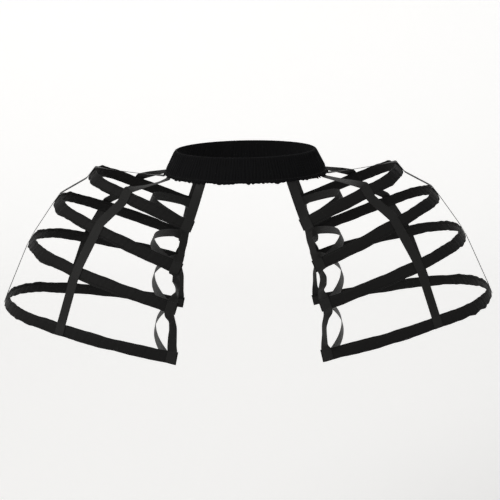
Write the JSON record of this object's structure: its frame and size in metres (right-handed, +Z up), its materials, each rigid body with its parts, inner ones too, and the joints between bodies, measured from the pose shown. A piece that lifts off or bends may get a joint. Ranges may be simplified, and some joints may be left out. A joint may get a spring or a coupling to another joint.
{
  "type": "crinoline cage",
  "caption": "Black crinoline cage with a gathered pull-on waistband and a tiered cage of boned hoops on each side, hung on tapes, to hold a costume skirt out at the hips.",
  "frame": {"origin": "middle of the waist opening, at half the height of the waistband", "axes": "+X to the viewer's right, across the widest span of the side hoops; -Y to the front; +Z up the body"},
  "size_m": [0.9046, 0.3796, 0.3499],
  "materials": {
    "waistband_cloth": "matte gathered",
    "sleeve_cloth": "soft sheen",
    "tape_cloth": "satin",
    "elastic": "ribbed",
    "bone_plastic": "matte"
  },
  "bodies": {
    "root": {"waistband_casing": "waistband_cloth", "waist_elastic": "elastic", "right_sleeve_1": "sleeve_cloth", "right_bone_1": "bone_plastic", "right_stay_1": "tape_cloth", "right_sleeve_2": "sleeve_cloth", "right_bone_2": "bone_plastic", "right_stay_2": "tape_cloth", "right_sleeve_3": "sleeve_cloth", "right_bone_3": "bone_plastic", "right_stay_3": "tape_cloth", "right_sleeve_4": "sleeve_cloth", "right_bone_4": "bone_plastic", "right_stay_4": "tape_cloth", "right_front_tape": "tape_cloth", "right_front_side_tape": "tape_cloth", "right_side_tape": "tape_cloth", "right_back_side_tape": "tape_cloth", "right_back_tape": "tape_cloth", "left_sleeve_1": "sleeve_cloth", "left_bone_1": "bone_plastic", "left_stay_1": "tape_cloth", "left_sleeve_2": "sleeve_cloth", "left_bone_2": "bone_plastic", "left_stay_2": "tape_cloth", "left_sleeve_3": "sleeve_cloth", "left_bone_3": "bone_plastic", "left_stay_3": "tape_cloth", "left_sleeve_4": "sleeve_cloth", "left_bone_4": "bone_plastic", "left_stay_4": "tape_cloth", "left_front_tape": "tape_cloth", "left_front_side_tape": "tape_cloth", "left_side_tape": "tape_cloth", "left_back_side_tape": "tape_cloth", "left_back_tape": "tape_cloth"}
  },
  "joints": []
}
